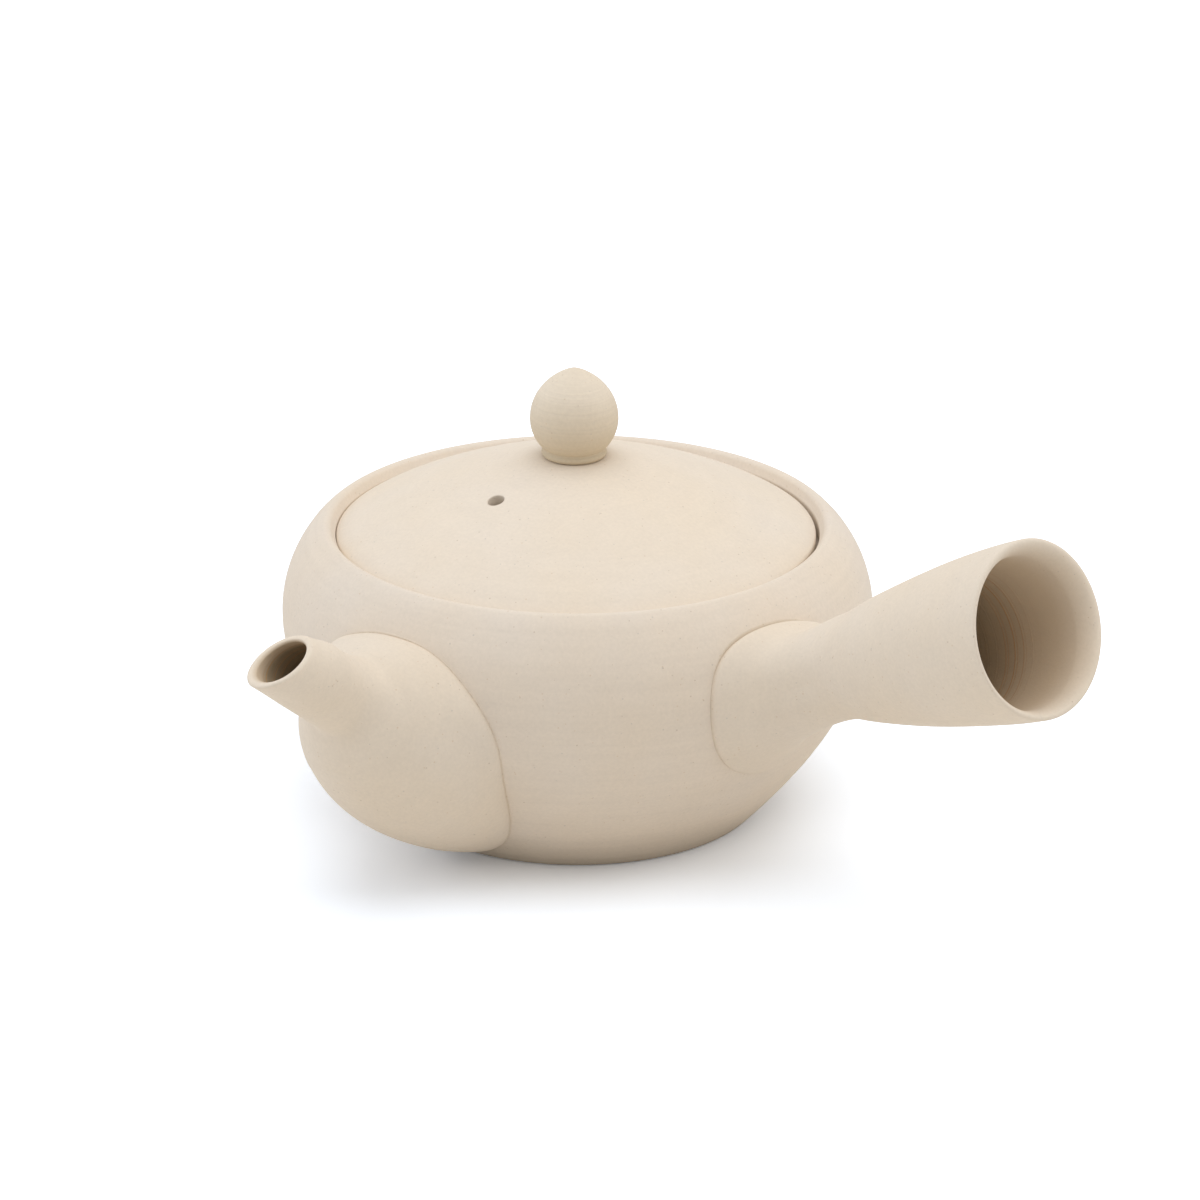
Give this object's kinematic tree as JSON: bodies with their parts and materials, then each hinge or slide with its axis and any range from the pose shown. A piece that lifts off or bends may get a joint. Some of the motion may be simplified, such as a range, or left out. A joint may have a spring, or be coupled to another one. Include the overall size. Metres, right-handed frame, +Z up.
{
  "type": "kyusu",
  "caption": "Round wheel-thrown teapot in unglazed clay: hollow flared side handle, short upturned spout over an inner strainer dome, inset domed lid with a ball knob.",
  "frame": {"origin": "middle of the flat base, on the table", "axes": "+Z up the pot's axis, +X towards the side handle, -Y towards the spout"},
  "size_m": [0.1833, 0.156, 0.0915],
  "materials": {
    "body_clay": "unglazed, matte, finely speckled",
    "lid_clay": "unglazed, matte, finely speckled"
  },
  "bodies": {
    "pot": {"pot_body": "body_clay", "side_handle": "body_clay", "spout": "body_clay", "strainer": "body_clay"},
    "lid": {"lid": "lid_clay", "lid_knob": "lid_clay"}
  },
  "joints": [
    {"name": "lid_lift", "type": "slide", "parent": "pot", "child": "lid", "axis": [0, 0, 1], "range_m": [0, 0.06]}
  ]
}
